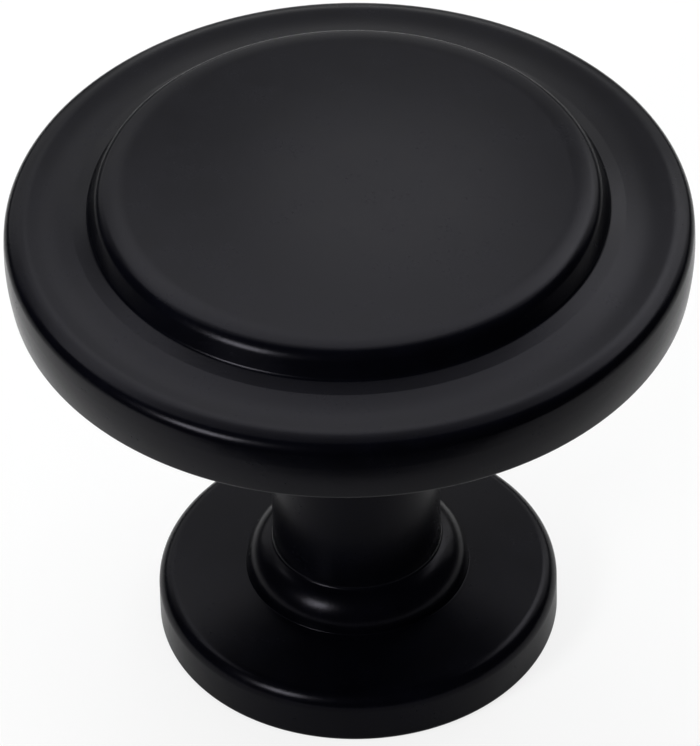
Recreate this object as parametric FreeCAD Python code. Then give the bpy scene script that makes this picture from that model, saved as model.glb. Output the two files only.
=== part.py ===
"""Round cabinet knob, cast in zinc as one piece: a disc head with a raised centre, a neck and a foot.

The knob is one revolved solid about the Z axis. Its foot sits on the door or drawer front at z = 0,
and its head looks up along +Z. A blind hole for the machine screw opens in the underside of the foot.
The section is drawn as corners joined by straight lines, and each corner is rounded by a tangent arc.
"""

import FreeCAD
import Part
import math
import os

# Overall sizes, in millimetres. Angles are in degrees.
projection = 26.6
head_diameter = 32.0
neck_diameter = 8.0
foot_diameter = 19.0

# Rim of the head: the ring's outer edge turns down in a soft shoulder and a tighter edge, and the wall
# bulges to the full diameter
rim_height = 3.4
rim_shoulder_width = 0.85
rim_shoulder_angle = 20.0
rim_shoulder_radius = 2.0
rim_top_radius = 0.65
rim_lower_radius = 0.3
rim_widest_height = 2.0
rim_bulge_radius = 9.0
rim_upper_lean = 4.5
rim_lower_lean = 9.0

# Raised centre of the head: a low crown that turns down in a soft shoulder and a tighter edge. Its steep wall
# ends in a small fillet.
centre_rise = 1.97
centre_diameter = 24.16
centre_crown = 0.08
centre_crown_radius = 60.0
centre_shoulder_width = 1.4
centre_shoulder_angle = 12.0
centre_shoulder_radius = 4.5
centre_edge_radius = 0.8
centre_wall_angle = 66.0
crease_radius = 0.25

# Cove that lifts the ring to the crease: a narrow conical band, then a shallow dish that runs out flat
cove_rise = 0.5
cove_width = 0.72
cove_angle = 19.0
cove_radius = 0.2
dish_angle = 11.0
dish_radius = 9.0

# Underside of the head, which thickens towards the neck
underside_angle = 4.0
neck_flare_radius = 2.5

# Collar: a rounded bead at the base of the neck, whose top already slopes outwards beside the neck
collar_diameter = 10.6
collar_height = 1.75
collar_top_angle = 18.4
collar_bead_radius = 1.9
collar_neck_radius = 0.6
collar_root_radius = 0.15

# Foot: a disc whose top rises towards the collar
foot_wall_height = 2.6
foot_top_angle = 5.0
foot_shoulder_radius = 0.8
foot_base_radius = 0.3

# Underside of the foot: a shallow relief, so that only the outer land touches the door
land_width = 2.2
land_edge_radius = 0.1
relief_depth = 0.4
relief_wall_angle = 60.0
relief_radius = 0.25

# Blind hole for the machine screw. Its wall is at the crests of the thread, and it ends in a drilled point.
screw_diameter = 4.0
thread_pitch = 0.7
hole_depth = 14.0
countersink_overhang = 0.4
countersink_angle = 45.0
drill_point_angle = 118.0

# The crests of an ISO metric thread in a hole leave the screw's diameter less this many pitches
CREST_PITCHES = 1.0825

# The crown bends at this share of the way from the axis to the shoulder of the raised centre
CROWN_CORNER_SHARE = 0.8

SMALLEST_EDGE = 0.001


def slope(angle):
    """Rise for each millimetre of run, for a line at this angle from the horizontal."""
    return math.tan(math.radians(angle))


def rounded_outline(corners):
    """Closed wire through corners (radius, height, rounding) in the XZ plane, rounded by tangent arcs.

    Where two roundings want more than the line between them, both give way in proportion.
    """
    points = [FreeCAD.Vector(radius, 0, height) for radius, height, rounding in corners]
    turns = []
    reaches = []
    for index, corner in enumerate(corners):
        following = (index + 1) % len(corners)
        back = (points[index - 1] - points[index]).normalize()
        ahead = (points[following] - points[index]).normalize()
        half_turn = (math.pi - back.getAngle(ahead)) / 2
        turns.append((back, ahead, half_turn))
        reaches.append(corner[2] * math.tan(half_turn))
    for index in range(len(corners)):
        following = (index + 1) % len(corners)
        room = points[index].distanceToPoint(points[following])
        wanted = reaches[index] + reaches[following]
        if wanted > room:
            reaches[index] *= room / wanted
            reaches[following] *= room / wanted

    edges = []
    pen = points[-1] + turns[-1][1] * reaches[-1]
    for point, (back, ahead, half_turn), reach in zip(points, turns, reaches):
        start = point + back * reach
        if pen.distanceToPoint(start) > SMALLEST_EDGE:
            edges.append(Part.LineSegment(pen, start).toShape())
        else:
            start = pen
        pen = start
        if reach > SMALLEST_EDGE:
            end = point + ahead * reach
            rounding = reach / math.tan(half_turn)
            inward = (back + ahead).normalize()
            middle = point + inward * rounding * (1 / math.cos(half_turn) - 1)
            edges.append(Part.Arc(start, middle, end).toShape())
            pen = end
    return Part.Wire(edges)


def head_corners():
    """Corners of the head, from the axis over the crown and the rim to the underside beside the neck."""
    head_radius = head_diameter / 2
    ring_height = projection - centre_rise
    lower_edge_height = ring_height - rim_height

    crease = centre_diameter / 2
    crease_height = ring_height + cove_rise
    shoulder = crease - centre_shoulder_width
    shoulder_height = projection - centre_crown
    wall_slope = slope(centre_wall_angle)
    shoulder_slope = slope(centre_shoulder_angle)
    drop = shoulder_height - crease_height
    edge_run = (centre_shoulder_width * wall_slope - drop) / (wall_slope - shoulder_slope)
    cove_edge = crease + cove_width
    cove_edge_height = crease_height - cove_width * slope(cove_angle)
    dish_edge = cove_edge + (cove_edge_height - ring_height) / slope(dish_angle)

    widest_height = lower_edge_height + rim_widest_height
    upper_bend_height = widest_height + rim_bulge_radius * slope(rim_upper_lean / 2)
    lower_bend_height = widest_height - rim_bulge_radius * slope(rim_lower_lean / 2)
    top_edge_height = ring_height - rim_shoulder_width * slope(rim_shoulder_angle)
    top_edge = head_radius - (top_edge_height - upper_bend_height) * slope(rim_upper_lean)
    lower_edge = head_radius - (lower_bend_height - lower_edge_height) * slope(rim_lower_lean)

    neck_radius = neck_diameter / 2
    underside_height = lower_edge_height - (lower_edge - neck_radius) * slope(underside_angle)
    return [
        (0, projection, 0),
        (shoulder * CROWN_CORNER_SHARE, projection, centre_crown_radius),
        (shoulder, shoulder_height, centre_shoulder_radius),
        (shoulder + edge_run, shoulder_height - edge_run * shoulder_slope, centre_edge_radius),
        (crease, crease_height, crease_radius),
        (cove_edge, cove_edge_height, cove_radius),
        (dish_edge, ring_height, dish_radius),
        (top_edge - rim_shoulder_width, ring_height, rim_shoulder_radius),
        (top_edge, top_edge_height, rim_top_radius),
        (head_radius, upper_bend_height, rim_bulge_radius),
        (head_radius, lower_bend_height, rim_bulge_radius),
        (lower_edge, lower_edge_height, rim_lower_radius),
        (neck_radius, underside_height, neck_flare_radius),
    ]


def foot_corners():
    """Corners of the collar and the foot, from the foot of the neck to the outer edge of the seat."""
    collar_root = collar_diameter / 2
    root_height = foot_wall_height + (foot_diameter / 2 - collar_root) * slope(foot_top_angle)
    collar_top_height = root_height + collar_height
    bead_corner_height = collar_top_height - (collar_root - neck_diameter / 2) * slope(collar_top_angle)
    return [
        (neck_diameter / 2, collar_top_height, collar_neck_radius),
        (collar_root, bead_corner_height, collar_bead_radius),
        (collar_root, root_height, collar_root_radius),
        (foot_diameter / 2, foot_wall_height, foot_shoulder_radius),
        (foot_diameter / 2, 0, foot_base_radius),
    ]


def hole_corners():
    """Corners of the underside of the foot, from the inner edge of the land to the point of the hole."""
    land_edge = foot_diameter / 2 - land_width
    relief_edge = land_edge - relief_depth / slope(relief_wall_angle)
    hole_radius = (screw_diameter - CREST_PITCHES * thread_pitch) / 2
    mouth_radius = screw_diameter / 2 + countersink_overhang
    countersink_top = relief_depth + (mouth_radius - hole_radius) * slope(countersink_angle)
    point_height = hole_depth + hole_radius * slope(90 - drill_point_angle / 2)
    return [
        (land_edge, 0, land_edge_radius),
        (relief_edge, relief_depth, relief_radius),
        (mouth_radius, relief_depth, 0),
        (hole_radius, countersink_top, 0),
        (hole_radius, hole_depth, 0),
        (0, point_height, 0),
    ]


def make_knob():
    """The whole casting, turned once round the axis from its section."""
    section = Part.Face(rounded_outline(head_corners() + foot_corners() + hole_corners()))
    axis_point = FreeCAD.Vector(0, 0, 0)
    axis_direction = FreeCAD.Vector(0, 0, 1)
    return section.revolve(axis_point, axis_direction, 360)


os.makedirs("parts", exist_ok=True)
knob = make_knob()
knob.exportStep("parts/knob.step")
print("knob: valid", knob.isValid(), "volume", round(knob.Volume, 1), "mm3, faces", len(knob.Faces))
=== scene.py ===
import math

import bmesh
import bpy
from mathutils import Matrix, Vector


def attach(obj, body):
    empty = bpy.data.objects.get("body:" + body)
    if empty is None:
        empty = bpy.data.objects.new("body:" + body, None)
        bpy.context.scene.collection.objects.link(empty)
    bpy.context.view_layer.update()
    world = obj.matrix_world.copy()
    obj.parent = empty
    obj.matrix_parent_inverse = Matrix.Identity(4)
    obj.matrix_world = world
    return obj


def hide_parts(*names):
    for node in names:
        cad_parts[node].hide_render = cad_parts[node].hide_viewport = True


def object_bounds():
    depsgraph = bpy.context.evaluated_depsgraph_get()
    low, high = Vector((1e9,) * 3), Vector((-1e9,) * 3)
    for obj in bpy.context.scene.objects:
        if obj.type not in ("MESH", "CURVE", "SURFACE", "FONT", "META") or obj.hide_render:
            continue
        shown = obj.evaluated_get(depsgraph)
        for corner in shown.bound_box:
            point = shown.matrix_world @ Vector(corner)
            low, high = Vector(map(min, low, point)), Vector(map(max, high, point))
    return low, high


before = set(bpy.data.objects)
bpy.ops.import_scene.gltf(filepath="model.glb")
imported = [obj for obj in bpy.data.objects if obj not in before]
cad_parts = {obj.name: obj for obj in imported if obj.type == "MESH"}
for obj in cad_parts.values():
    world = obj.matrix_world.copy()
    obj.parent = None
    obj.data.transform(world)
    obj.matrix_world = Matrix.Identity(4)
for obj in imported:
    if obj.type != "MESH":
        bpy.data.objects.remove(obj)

bl_info = {
    "name": "Cabinet knob",
    "version": (1, 0, 0),
    "blender": (4, 5, 0),
    "location": "View3D > Sidebar > Knob",
    "description": "A round cabinet knob with a satin black coat and a tapped hole, on a pale studio floor",
    "category": "Object",
}

MILLIMETRE = 0.001
BODY = "root"

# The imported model's own box gives the head's diameter and the height of the crown
cad_low, cad_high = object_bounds()

# Steps of the turn round the axis, and the largest angle and length of a step along an arc of the section
TURN_STEPS = 192
ARC_STEP_ANGLE = math.radians(5)
ARC_STEP_LENGTH = 0.4 * MILLIMETRE
SHORTEST_EDGE = 0.0005 * MILLIMETRE
SHARP_EDGE = math.radians(25)

# The crown bends at this share of the way from the axis to its shoulder
CROWN_CORNER_SHARE = 0.5

# ISO metric thread: slope of a flank from the plane across the axis. In pitches, what the crests take off the
# screw's diameter and how wide the flat at the root is.
FLANK_ANGLE = math.radians(30)
CREST_PITCHES = 1.0825
ROOT_FLAT_PITCHES = 1 / 8

# Height at which the thread starts, and how far the tap reaches inside the wall of the hole
THREAD_START = 0.4 * MILLIMETRE
TAP_OVERLAP = 0.1 * MILLIMETRE
THREAD_STEPS_A_TURN = 32

# Most of a noise pattern lies between these values
NOISE_LOW = 0.3
NOISE_HIGH = 0.7

# How far the coat's tone and roughness vary, in its wide clouds and in its fine grain
DARKER_TONE = 0.8
LIGHTER_TONE = 1.25
CLOUD_DETAIL = 3.0
CLOUD_ROUGHNESS = 0.012
GRAIN_DETAIL = 2.0
GRAIN_ROUGHNESS = 0.02
GRAIN_STRENGTH = 0.5
GRAIN_DEPTH = 0.004 * MILLIMETRE

# The coat's index of refraction, and the slightly violet tint of its reflections
COAT_INDEX = 1.5
REFLECTION_TINT = (0.89, 0.87, 1.0, 1.0)

# The floor's faint mottle, the range of its roughness and its weak gloss
MOTTLE_SIZE = 40 * MILLIMETRE
MOTTLE_DETAIL = 2.0
SMOOTHER_FLOOR = 0.58
ROUGHER_FLOOR = 0.64
FLOOR_GLOSS = 0.1

# The lamps look at the axis at this share of the knob's height, from azimuths to the right of straight behind
# it and elevations, both in degrees. Then come distance, width and height in metres, and radiance.
LAMP_AIM_SHARE = 0.75
SOFTBOXES = {
    "key": (6, 51, 0.14, 0.12, 0.05, 1.5),
    "spot": (3, 43.5, 0.10, 0.020, 0.016, 2.8),
    "key_left": (-27, 40, 0.14, 0.05, 0.06, 1.1),
    "key_right": (37, 40, 0.14, 0.05, 0.06, 2.5),
    "overhead_front": (4, 56, 0.14, 0.20, 0.03, 1.6),
    "overhead_left": (-30, 58, 0.14, 0.08, 0.04, 0.4),
    "overhead": (0, 66, 0.14, 0.25, 0.03, 2.9),
    "overhead_top": (0, 78, 0.14, 0.25, 0.05, 1.1),
    "behind": (0, 17, 0.20, 0.36, 0.04, 1.2),
    "behind_high": (0, 30, 0.20, 0.36, 0.05, 0.9),
    "behind_low": (0, 8, 0.20, 0.10, 0.02, 2.0),
    "behind_left": (-45, 30, 0.20, 0.10, 0.12, 0.3),
    "behind_right": (45, 30, 0.20, 0.10, 0.12, 0.9),
    "side": (-135, 28, 0.10, 0.03, 0.03, 21.0),
}

# The fill lights the floor and is not seen in the coat
FILL = (150, 50, 0.60, 0.50, 0.50, 1.1)
WORLD_COLOUR = (0.02, 0.02, 0.02, 1.0)

# The camera looks at a point this far to the side of the axis, and sees this far
TARGET_SIDE = -0.133 * MILLIMETRE
CAMERA_REACH = 10

# The pale sheet ends a little in front of the picture, so that the walls of the knob reflect its front edge
SHEET_WIDTH = 1.2
SHEET_FRONT = -0.036
SHEET_BACK = 1.0


def length(name, description, millimetres):
    """A length property, given in millimetres and kept in metres."""
    return bpy.props.FloatProperty(
        name=name,
        description=description,
        unit="LENGTH",
        default=millimetres * MILLIMETRE,
        min=0.0,
        precision=5,
    )


def angle(name, description, degrees):
    """An angle property, given in degrees and kept in radians."""
    return bpy.props.FloatProperty(
        name=name,
        description=description,
        subtype="ANGLE",
        default=math.radians(degrees),
    )


class HeadSizes(bpy.types.PropertyGroup):
    """Section of the head: raised centre, cove, ring, rim and underside."""

    projection: length("Projection", "From the door to the top of the crown", cad_high.z / MILLIMETRE)
    diameter: length("Head diameter", "Across the rim", (cad_high.x - cad_low.x) / MILLIMETRE)

    centre_rise: length("Centre rise", "From the ring up to the top of the crown", 1.97)
    centre_diameter: length("Centre diameter", "Across the crease at the foot of the raised centre", 24.16)
    crown_drop: length("Crown drop", "From the top of the crown down to its shoulder", 0.18)
    crown_radius: length("Crown bend", "Radius of the long bend of the crown", 180.0)
    shoulder_width: length("Shoulder width", "From the crease in to the crown's shoulder", 1.4)
    shoulder_angle: angle("Shoulder angle", "Slope of the crown between its shoulder and its edge", 12.0)
    shoulder_radius: length("Shoulder bend", "Radius of the crown's shoulder", 4.5)
    edge_radius: length("Edge radius", "Radius of the raised centre's edge", 0.8)
    wall_angle: angle("Wall angle", "Slope of the raised centre's wall", 66.0)
    crease_radius: length("Crease radius", "Fillet where the wall meets the cove", 0.25)

    cove_rise: length("Cove rise", "From the ring up to the crease", 0.5)
    cove_width: length("Cove width", "Width of the conical band beside the crease", 0.72)
    cove_angle: angle("Cove angle", "Slope of the conical band", 19.0)
    cove_radius: length("Cove radius", "Radius between the conical band and the dish", 0.2)
    dish_angle: angle("Dish angle", "Slope of the dish where it starts", 11.0)
    dish_radius: length("Dish radius", "Radius of the dish, which runs out into the ring", 9.0)

    rim_height: length("Rim height", "From the ring down to the lower edge of the rim", 3.4)
    rim_shoulder_width: length("Rim shoulder width", "From the rim's edge in to its shoulder", 0.85)
    rim_shoulder_angle: angle("Rim shoulder angle", "Slope between the rim's shoulder and its edge", 20.0)
    rim_shoulder_radius: length("Rim shoulder bend", "Radius of the rim's shoulder", 2.0)
    rim_top_radius: length("Rim edge radius", "Radius of the rim's upper edge", 0.65)
    rim_lower_radius: length("Rim lower radius", "Radius of the rim's lower edge", 0.3)
    rim_widest_height: length("Widest height", "From the rim's lower edge up to its widest line", 2.0)
    rim_bulge_radius: length("Rim bulge", "Radius of the rim's wall at its widest line", 9.0)
    rim_upper_lean: angle("Upper lean", "Lean of the rim's wall above its widest line", 4.5)
    rim_lower_lean: angle("Lower lean", "Lean of the rim's wall below its widest line", 9.0)

    underside_angle: angle("Underside angle", "Slope of the head's underside", 4.0)
    flare_radius: length("Neck flare", "Fillet between the neck and the underside", 2.5)


class FootSizes(bpy.types.PropertyGroup):
    """Section of the neck, the collar and the foot."""

    neck_diameter: length("Neck diameter", "Across the neck", 8.0)
    collar_diameter: length("Collar diameter", "Across the bead at the base of the neck", 10.6)
    collar_height: length("Collar height", "From the collar's root up to its top at the neck", 1.75)
    collar_top_angle: angle("Collar top angle", "Slope of the collar's top", 18.4)
    collar_bead_radius: length("Collar bead", "Radius of the collar's bead", 1.9)
    collar_neck_radius: length("Collar neck fillet", "Fillet between the collar and the neck", 0.2)
    collar_root_radius: length("Collar root fillet", "Fillet between the collar and the foot", 0.06)
    diameter: length("Foot diameter", "Across the foot", 19.0)
    wall_height: length("Foot wall", "Height of the foot at its outer edge", 2.6)
    top_angle: angle("Foot top angle", "Slope of the foot's top", 5.0)
    shoulder_radius: length("Foot shoulder", "Radius of the foot's upper edge", 0.8)
    base_radius: length("Foot base edge", "Radius of the foot's lower edge", 0.3)
    land_width: length("Land width", "Width of the outer land that touches the door", 2.2)
    land_edge_radius: length("Land edge", "Radius of the land's inner edge", 0.1)
    relief_depth: length("Relief depth", "Depth of the relief inside the land", 0.4)
    relief_wall_angle: angle("Relief wall angle", "Slope of the relief's wall", 60.0)
    relief_radius: length("Relief fillet", "Fillet at the foot of the relief's wall", 0.25)


class ScrewSizes(bpy.types.PropertyGroup):
    """The blind tapped hole for the machine screw."""

    diameter: length("Screw diameter", "Nominal diameter of the machine screw", 4.0)
    pitch: length("Thread pitch", "Distance from thread to thread", 0.7)
    hole_depth: length("Hole depth", "From the door to the end of the hole's wall", 14.0)
    thread_depth: length("Thread depth", "From the door to the end of the full thread", 12.0)
    countersink_overhang: length("Countersink overhang", "Countersink's mouth beyond the screw's radius", 0.4)
    countersink_angle: angle("Countersink angle", "Slope of the countersink", 45.0)
    point_angle: angle("Drill point", "Full angle of the drilled point", 118.0)


class FinishSettings(bpy.types.PropertyGroup):
    """The black coat and the floor."""

    coat_colour: bpy.props.FloatVectorProperty(
        name="Coat colour",
        description="Colour of the black coat",
        subtype="COLOR",
        size=3,
        default=(0.0010, 0.0011, 0.0022),
        min=0.0,
        max=1.0,
    )
    coat_roughness: bpy.props.FloatProperty(
        name="Coat roughness",
        description="How satin the coat is: 0 is a mirror and 1 is matt",
        subtype="FACTOR",
        default=0.25,
        min=0.0,
        max=1.0,
    )
    coat_gloss: bpy.props.FloatProperty(
        name="Coat gloss",
        description="Strength of the coat's reflection, as the shader's specular level",
        subtype="FACTOR",
        default=0.0875,
        min=0.0,
        max=1.0,
    )
    grain_size: length("Grain size", "Size of the fine orange peel in the coat", 0.18)
    cloud_size: length("Cloud size", "Size of the wide soft variation in the coat", 1.6)
    backdrop_share: bpy.props.FloatProperty(
        name="White backdrop",
        description="How far the camera sees the floor as plain white, as in a product photograph",
        subtype="FACTOR",
        default=0.8,
        min=0.0,
        max=1.0,
    )
    floor_colour: bpy.props.FloatVectorProperty(
        name="Floor colour",
        description="Colour of the studio floor",
        subtype="COLOR",
        size=3,
        default=(0.9, 0.9, 0.9),
        min=0.0,
        max=1.0,
    )


class StageSettings(bpy.types.PropertyGroup):
    """The camera."""

    camera_distance: length("Camera distance", "From the camera to the point it looks at", 424.0)
    camera_elevation: angle("Camera elevation", "Angle at which the camera looks down", 41.63)
    camera_roll: angle("Camera roll", "Turn of the camera about its line of sight", -1.49)
    target_height: length("Target height", "Height above the door of the point it looks at", 14.84)
    lens: bpy.props.FloatProperty(
        name="Lens",
        description="Focal length of the camera",
        unit="CAMERA",
        default=436.55,
        min=1.0,
    )


def head_corners(head, neck_radius):
    """Corners (radius, height, rounding) from the axis over the crown and the rim to beside the neck."""
    rim_radius = head.diameter / 2
    ring_height = head.projection - head.centre_rise
    lower_edge_height = ring_height - head.rim_height

    crease = head.centre_diameter / 2
    crease_height = ring_height + head.cove_rise
    shoulder = crease - head.shoulder_width
    shoulder_height = head.projection - head.crown_drop
    wall_slope = math.tan(head.wall_angle)
    shoulder_slope = math.tan(head.shoulder_angle)
    drop = shoulder_height - crease_height
    edge_run = (head.shoulder_width * wall_slope - drop) / (wall_slope - shoulder_slope)
    cove_edge = crease + head.cove_width
    cove_edge_height = crease_height - head.cove_width * math.tan(head.cove_angle)
    dish_edge = cove_edge + (cove_edge_height - ring_height) / math.tan(head.dish_angle)

    widest_height = lower_edge_height + head.rim_widest_height
    upper_bend_height = widest_height + head.rim_bulge_radius * math.tan(head.rim_upper_lean / 2)
    lower_bend_height = widest_height - head.rim_bulge_radius * math.tan(head.rim_lower_lean / 2)
    top_edge_height = ring_height - head.rim_shoulder_width * math.tan(head.rim_shoulder_angle)
    top_edge = rim_radius - (top_edge_height - upper_bend_height) * math.tan(head.rim_upper_lean)
    lower_edge = rim_radius - (lower_bend_height - lower_edge_height) * math.tan(head.rim_lower_lean)
    underside_height = lower_edge_height - (lower_edge - neck_radius) * math.tan(head.underside_angle)
    return [
        (0, head.projection, 0),
        (shoulder * CROWN_CORNER_SHARE, head.projection, head.crown_radius),
        (shoulder, shoulder_height, head.shoulder_radius),
        (shoulder + edge_run, shoulder_height - edge_run * shoulder_slope, head.edge_radius),
        (crease, crease_height, head.crease_radius),
        (cove_edge, cove_edge_height, head.cove_radius),
        (dish_edge, ring_height, head.dish_radius),
        (top_edge - head.rim_shoulder_width, ring_height, head.rim_shoulder_radius),
        (top_edge, top_edge_height, head.rim_top_radius),
        (rim_radius, upper_bend_height, head.rim_bulge_radius),
        (rim_radius, lower_bend_height, head.rim_bulge_radius),
        (lower_edge, lower_edge_height, head.rim_lower_radius),
        (neck_radius, underside_height, head.flare_radius),
    ]


def foot_corners(foot):
    """Corners of the collar and the foot, from the foot of the neck to the outer edge of the seat."""
    neck_radius = foot.neck_diameter / 2
    collar_root = foot.collar_diameter / 2
    foot_radius = foot.diameter / 2
    root_height = foot.wall_height + (foot_radius - collar_root) * math.tan(foot.top_angle)
    collar_top_height = root_height + foot.collar_height
    bead_corner_height = collar_top_height - (collar_root - neck_radius) * math.tan(foot.collar_top_angle)
    return [
        (neck_radius, collar_top_height, foot.collar_neck_radius),
        (collar_root, bead_corner_height, foot.collar_bead_radius),
        (collar_root, root_height, foot.collar_root_radius),
        (foot_radius, foot.wall_height, foot.shoulder_radius),
        (foot_radius, 0, foot.base_radius),
    ]


def crest_radius(screw):
    """Radius of the thread's crests, which is the plain wall of the hole before it is tapped."""
    return (screw.diameter - CREST_PITCHES * screw.pitch) / 2


def hole_corners(foot, screw):
    """Corners of the underside of the foot, from the inner edge of the land to the point of the hole."""
    land_edge = foot.diameter / 2 - foot.land_width
    relief_edge = land_edge - foot.relief_depth / math.tan(foot.relief_wall_angle)
    hole_radius = crest_radius(screw)
    mouth_radius = screw.diameter / 2 + screw.countersink_overhang
    countersink_top = foot.relief_depth + (mouth_radius - hole_radius) * math.tan(screw.countersink_angle)
    point_height = screw.hole_depth + hole_radius / math.tan(screw.point_angle / 2)
    return [
        (land_edge, 0, foot.land_edge_radius),
        (relief_edge, foot.relief_depth, foot.relief_radius),
        (mouth_radius, foot.relief_depth, 0),
        (hole_radius, countersink_top, 0),
        (hole_radius, screw.hole_depth, 0),
        (0, point_height, 0),
    ]


def draw_line(shape, pen, end):
    """Draws an edge from the vertex pen to end, and returns the vertex there."""
    if (end - pen.co).length < SHORTEST_EDGE:
        return pen
    tip = bmesh.ops.extrude_vert_indiv(shape, verts=[pen])["verts"][0]
    bmesh.ops.translate(shape, verts=[tip], vec=end - pen.co)
    return tip


def draw_arc(shape, pen, centre, end):
    """Draws an arc about centre from the vertex pen to end, and returns the vertex there."""
    arm = pen.co - centre
    turn = arm.angle(end - centre)
    steps = max(2, math.ceil(turn / ARC_STEP_ANGLE), math.ceil(turn * arm.length / ARC_STEP_LENGTH))
    if arm.cross(end - centre).y < 0:
        turn = -turn
    spun = bmesh.ops.spin(shape, geom=[pen], cent=centre, axis=(0, 1, 0), angle=turn, steps=steps)
    return next(part for part in spun["geom_last"] if isinstance(part, bmesh.types.BMVert))


def draw_section(shape, corners):
    """Draws straight lines between the corners (radius, height, rounding), each rounded by a tangent arc.

    Where two roundings want more than the line between them, both give way in proportion.
    """
    points = [Vector((radius, 0, height)) for radius, height, rounding in corners]
    inner = range(1, len(points) - 1)
    turns = {}
    reaches = [0.0] * len(points)
    for index in inner:
        back = (points[index - 1] - points[index]).normalized()
        ahead = (points[index + 1] - points[index]).normalized()
        half_turn = (math.pi - back.angle(ahead)) / 2
        turns[index] = (back, ahead, half_turn)
        reaches[index] = corners[index][2] * math.tan(half_turn)
    for index in range(len(points) - 1):
        room = (points[index + 1] - points[index]).length
        wanted = reaches[index] + reaches[index + 1]
        if wanted > room:
            reaches[index] *= room / wanted
            reaches[index + 1] *= room / wanted

    pen = bmesh.ops.create_vert(shape, co=points[0])["vert"][0]
    for index in inner:
        back, ahead, half_turn = turns[index]
        pen = draw_line(shape, pen, points[index] + back * reaches[index])
        if reaches[index] > 0:
            rounding = reaches[index] / math.tan(half_turn)
            centre = points[index] + (back + ahead).normalized() * rounding / math.cos(half_turn)
            pen = draw_arc(shape, pen, centre, points[index] + ahead * reaches[index])
    draw_line(shape, pen, points[-1])


def close_shape(shape):
    """Merges doubled vertices and turns the faces outwards."""
    bmesh.ops.remove_doubles(shape, verts=shape.verts, dist=SHORTEST_EDGE / 2)
    bmesh.ops.recalc_face_normals(shape, faces=shape.faces)


def turn_casting(head, foot, screw):
    """Mesh of the whole casting, its section turned once round the axis."""
    corners = head_corners(head, foot.neck_diameter / 2) + foot_corners(foot) + hole_corners(foot, screw)
    shape = bmesh.new()
    draw_section(shape, corners)
    bmesh.ops.spin(
        shape,
        geom=shape.verts[:] + shape.edges[:],
        cent=(0, 0, 0),
        axis=(0, 0, 1),
        angle=2 * math.pi,
        steps=TURN_STEPS,
        use_merge=True,
    )
    close_shape(shape)
    mesh = bpy.data.meshes.new("knob_casting")
    shape.to_mesh(mesh)
    shape.free()
    return mesh


def wind_thread(screw):
    """Mesh of the tap's thread: a ridge wound up the hole, which cuts the grooves of the thread."""
    ridge_radius = screw.diameter / 2
    inner_radius = crest_radius(screw) - TAP_OVERLAP
    half_flat = screw.pitch * ROOT_FLAT_PITCHES / 2
    half_base = half_flat + (ridge_radius - inner_radius) * math.tan(FLANK_ANGLE)
    corners = [
        (inner_radius, -half_base),
        (ridge_radius, -half_flat),
        (ridge_radius, half_flat),
        (inner_radius, half_base),
    ]
    points = [Vector((radius, 0, THREAD_START + height)) for radius, height in corners]
    turns = (screw.thread_depth - THREAD_START) / screw.pitch
    steps = round(turns * THREAD_STEPS_A_TURN)

    shape = bmesh.new()
    first = bmesh.ops.create_vert(shape, co=points[0])["vert"][0]
    pen = first
    for point in points[1:]:
        pen = draw_line(shape, pen, point)
    bmesh.ops.contextual_create(shape, geom=[first, pen])
    bmesh.ops.contextual_create(shape, geom=shape.edges[:])
    bmesh.ops.spin(
        shape,
        geom=shape.verts[:] + shape.edges[:] + shape.faces[:],
        cent=(0, 0, 0),
        axis=(0, 0, 1),
        dvec=(0, 0, screw.pitch / THREAD_STEPS_A_TURN),
        angle=steps * 2 * math.pi / THREAD_STEPS_A_TURN,
        steps=steps,
    )
    bmesh.ops.holes_fill(shape, edges=[edge for edge in shape.edges if edge.is_boundary])
    close_shape(shape)
    mesh = bpy.data.meshes.new("tap")
    shape.to_mesh(mesh)
    shape.free()
    return mesh


def tap_hole(context, casting, screw):
    """Cuts the thread into the wall of the casting's hole."""
    tap = bpy.data.objects.new("tap", wind_thread(screw))
    context.scene.collection.objects.link(tap)
    cut = casting.modifiers.new("thread", "BOOLEAN")
    cut.operation = "DIFFERENCE"
    cut.solver = "EXACT"
    cut.object = tap
    evaluated = casting.evaluated_get(context.evaluated_depsgraph_get())
    tapped = bpy.data.meshes.new_from_object(evaluated)
    tapped.name = "knob_casting"
    casting.modifiers.remove(cut)
    casting.data = tapped
    bpy.data.objects.remove(tap)


def new_material(name):
    """An empty node material, its principled shader joined to its output."""
    material = bpy.data.materials.new(name)
    material.use_nodes = True
    material.node_tree.nodes.clear()
    output = material.node_tree.nodes.new("ShaderNodeOutputMaterial")
    shader = material.node_tree.nodes.new("ShaderNodeBsdfPrincipled")
    material.node_tree.links.new(shader.outputs["BSDF"], output.inputs["Surface"])
    return material, shader


def add_noise(material, size, detail):
    """A noise pattern on the object's own coordinates, with blotches of this size."""
    nodes = material.node_tree.nodes
    place = nodes.new("ShaderNodeTexCoord")
    noise = nodes.new("ShaderNodeTexNoise")
    noise.inputs["Scale"].default_value = 1 / size
    noise.inputs["Detail"].default_value = detail
    material.node_tree.links.new(place.outputs["Object"], noise.inputs["Vector"])
    return noise.outputs["Fac"]


def add_range(material, value, low, high):
    """Spreads a noise value over the range from low to high."""
    spread = material.node_tree.nodes.new("ShaderNodeMapRange")
    spread.inputs["From Min"].default_value = NOISE_LOW
    spread.inputs["From Max"].default_value = NOISE_HIGH
    spread.inputs["To Min"].default_value = low
    spread.inputs["To Max"].default_value = high
    material.node_tree.links.new(value, spread.inputs["Value"])
    return spread.outputs["Result"]


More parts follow.
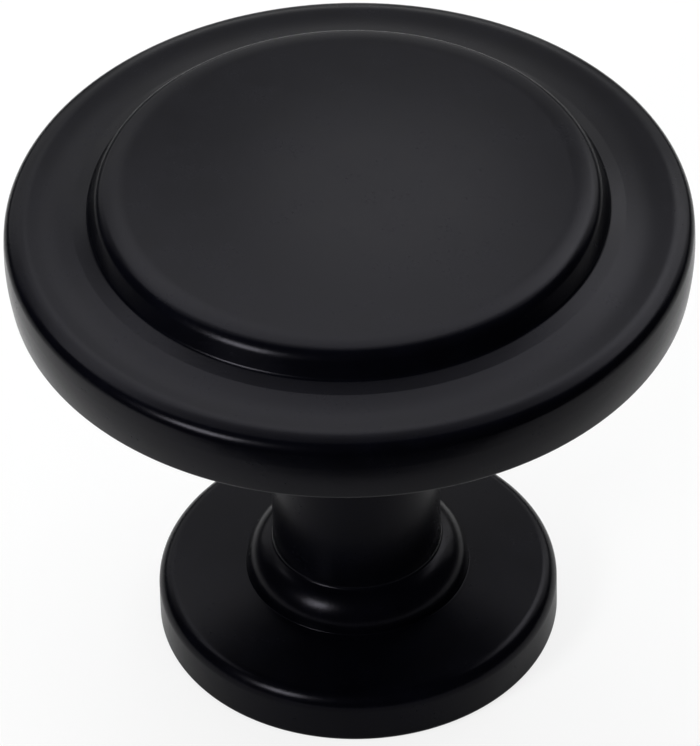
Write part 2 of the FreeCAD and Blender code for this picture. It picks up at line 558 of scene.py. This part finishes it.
def make_coat(finish):
    """Satin black coat: a thin even film with soft clouds in tone and gloss, and a fine orange peel."""
    material, shader = new_material("black_coat")
    links = material.node_tree.links
    nodes = material.node_tree.nodes
    clouds = add_noise(material, finish.cloud_size, CLOUD_DETAIL)
    grain = add_noise(material, finish.grain_size, GRAIN_DETAIL)

    tone = nodes.new("ShaderNodeMix")
    tone.data_type = "RGBA"
    colour = Vector(finish.coat_colour)
    tone.inputs["A"].default_value = (*(colour * DARKER_TONE), 1.0)
    tone.inputs["B"].default_value = (*(colour * LIGHTER_TONE), 1.0)
    links.new(add_range(material, clouds, 0.0, 1.0), tone.inputs["Factor"])
    links.new(tone.outputs["Result"], shader.inputs["Base Color"])

    smoother = finish.coat_roughness - GRAIN_ROUGHNESS
    rougher = finish.coat_roughness + GRAIN_ROUGHNESS
    roughness = nodes.new("ShaderNodeMath")
    roughness.operation = "ADD"
    links.new(add_range(material, clouds, -CLOUD_ROUGHNESS, CLOUD_ROUGHNESS), roughness.inputs[0])
    links.new(add_range(material, grain, smoother, rougher), roughness.inputs[1])
    links.new(roughness.outputs["Value"], shader.inputs["Roughness"])

    peel = nodes.new("ShaderNodeBump")
    peel.inputs["Strength"].default_value = GRAIN_STRENGTH
    peel.inputs["Distance"].default_value = GRAIN_DEPTH
    links.new(grain, peel.inputs["Height"])
    links.new(peel.outputs["Normal"], shader.inputs["Normal"])

    shader.inputs["IOR"].default_value = COAT_INDEX
    shader.inputs["Specular IOR Level"].default_value = finish.coat_gloss
    shader.inputs["Specular Tint"].default_value = REFLECTION_TINT
    return material


def make_floor_material(finish):
    """Plain pale studio floor with a faint mottle, which the camera sees partly as plain white."""
    material, shader = new_material("pale_floor")
    mottle = add_noise(material, MOTTLE_SIZE, MOTTLE_DETAIL)
    links = material.node_tree.links
    nodes = material.node_tree.nodes
    links.new(add_range(material, mottle, SMOOTHER_FLOOR, ROUGHER_FLOOR), shader.inputs["Roughness"])
    shader.inputs["Base Color"].default_value = (*finish.floor_colour, 1.0)
    shader.inputs["Specular IOR Level"].default_value = FLOOR_GLOSS

    path = nodes.new("ShaderNodeLightPath")
    share = nodes.new("ShaderNodeMath")
    share.operation = "MULTIPLY"
    share.inputs[1].default_value = finish.backdrop_share
    links.new(path.outputs["Is Camera Ray"], share.inputs[0])
    white = nodes.new("ShaderNodeEmission")
    white.inputs["Strength"].default_value = 1.0
    blend = nodes.new("ShaderNodeMixShader")
    links.new(share.outputs["Value"], blend.inputs["Fac"])
    links.new(shader.outputs["BSDF"], blend.inputs[1])
    links.new(white.outputs["Emission"], blend.inputs[2])
    output = next(node for node in nodes if node.type == "OUTPUT_MATERIAL")
    links.new(blend.outputs["Shader"], output.inputs["Surface"])
    return material


def add_softbox(name, azimuth, elevation, distance, width, height, radiance, in_reflections=True):
    """A soft rectangular lamp that looks at the knob, as bright all over as the radiance."""
    turn = math.radians(azimuth)
    rise = math.radians(elevation)
    towards = Vector((math.sin(turn) * math.cos(rise), math.cos(turn) * math.cos(rise), math.sin(rise)))
    light = bpy.data.lights.new(name, "AREA")
    light.shape = "RECTANGLE"
    light.size = width
    light.size_y = height
    light.energy = radiance * math.pi * width * height
    lamp = bpy.data.objects.new(name, light)
    lamp.location = Vector((0, 0, cad_high.z * LAMP_AIM_SHARE)) + towards * distance
    lamp.rotation_mode = "QUATERNION"
    lamp.rotation_quaternion = towards.to_track_quat("Z", "Y")
    lamp.visible_glossy = in_reflections
    bpy.context.scene.collection.objects.link(lamp)


class KNOB_OT_make_casting(bpy.types.Operator):
    """Turns the knob's casting from its section, taps its hole and coats it black"""

    bl_idname = "knob.make_casting"
    bl_label = "Make the casting"

    def execute(self, context):
        scene = context.scene
        mesh = turn_casting(scene.knob_head, scene.knob_foot, scene.knob_screw)
        casting = bpy.data.objects.new("knob_casting", mesh)
        scene.collection.objects.link(casting)
        tap_hole(context, casting, scene.knob_screw)
        if len(casting.data.polygons) <= len(mesh.polygons):
            raise RuntimeError("the thread was not cut")
        casting.data.materials.append(make_coat(scene.knob_finish))
        casting.data.shade_smooth()
        casting.data.set_sharp_from_angle(angle=SHARP_EDGE)
        shading = casting.modifiers.new("even_shading", "WEIGHTED_NORMAL")
        shading.keep_sharp = True
        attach(casting, BODY)
        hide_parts("knob")
        return {"FINISHED"}


class KNOB_OT_build_stage(bpy.types.Operator):
    """Adds the pale floor, the soft lamps and the camera"""

    bl_idname = "knob.build_stage"
    bl_label = "Build the stage"

    def execute(self, context):
        scene = context.scene
        stage = scene.knob_stage

        shape = bmesh.new()
        sheet = bmesh.ops.create_grid(shape, x_segments=1, y_segments=1, size=0.5)["verts"]
        bmesh.ops.scale(shape, verts=sheet, vec=(SHEET_WIDTH, SHEET_BACK - SHEET_FRONT, 1))
        bmesh.ops.translate(shape, verts=sheet, vec=(0, (SHEET_FRONT + SHEET_BACK) / 2, 0))
        mesh = bpy.data.meshes.new("floor")
        shape.to_mesh(mesh)
        shape.free()
        mesh.materials.append(make_floor_material(scene.knob_finish))
        floor = bpy.data.objects.new("floor", mesh)
        scene.collection.objects.link(floor)

        elevation = stage.camera_elevation
        towards = Vector((0, -math.cos(elevation), math.sin(elevation)))
        target = Vector((TARGET_SIDE, 0, stage.target_height))
        lens = bpy.data.cameras.new("camera")
        lens.lens = stage.lens
        lens.clip_end = CAMERA_REACH
        camera = bpy.data.objects.new("camera", lens)
        turn = towards.to_track_quat("Z", "Y").to_matrix() @ Matrix.Rotation(stage.camera_roll, 3, "Z")
        camera.matrix_world = Matrix.Translation(target + towards * stage.camera_distance) @ turn.to_4x4()
        scene.collection.objects.link(camera)
        scene.camera = camera

        for name, place in SOFTBOXES.items():
            add_softbox(name, *place)
        add_softbox("fill", *FILL, in_reflections=False)

        world = bpy.data.worlds.new("studio")
        world.use_nodes = True
        world.node_tree.nodes["Background"].inputs["Color"].default_value = WORLD_COLOUR
        scene.world = world
        scene.view_settings.view_transform = "Standard"
        return {"FINISHED"}


class KNOB_PT_panel(bpy.types.Panel):
    """Lists the knob's sizes, finish and steps"""

    bl_idname = "KNOB_PT_panel"
    bl_label = "Cabinet knob"
    bl_space_type = "VIEW_3D"
    bl_region_type = "UI"
    bl_category = "Knob"

    def draw(self, context):
        for name in SETTINGS:
            settings = getattr(context.scene, name)
            for key in settings.__annotations__:
                self.layout.prop(settings, key)
        for step in STEPS:
            self.layout.operator(step.bl_idname)


SETTINGS = {
    "knob_head": HeadSizes,
    "knob_foot": FootSizes,
    "knob_screw": ScrewSizes,
    "knob_finish": FinishSettings,
    "knob_stage": StageSettings,
}
STEPS = (KNOB_OT_make_casting, KNOB_OT_build_stage)
CLASSES = (*SETTINGS.values(), *STEPS, KNOB_PT_panel)


def register():
    for part in CLASSES:
        bpy.utils.register_class(part)
    for name, group in SETTINGS.items():
        setattr(bpy.types.Scene, name, bpy.props.PointerProperty(type=group))


def unregister():
    for name in SETTINGS:
        delattr(bpy.types.Scene, name)
    for part in reversed(CLASSES):
        bpy.utils.unregister_class(part)


def main():
    register()
    bpy.ops.knob.make_casting()
    bpy.ops.knob.build_stage()


if __name__ == "__main__":
    main()
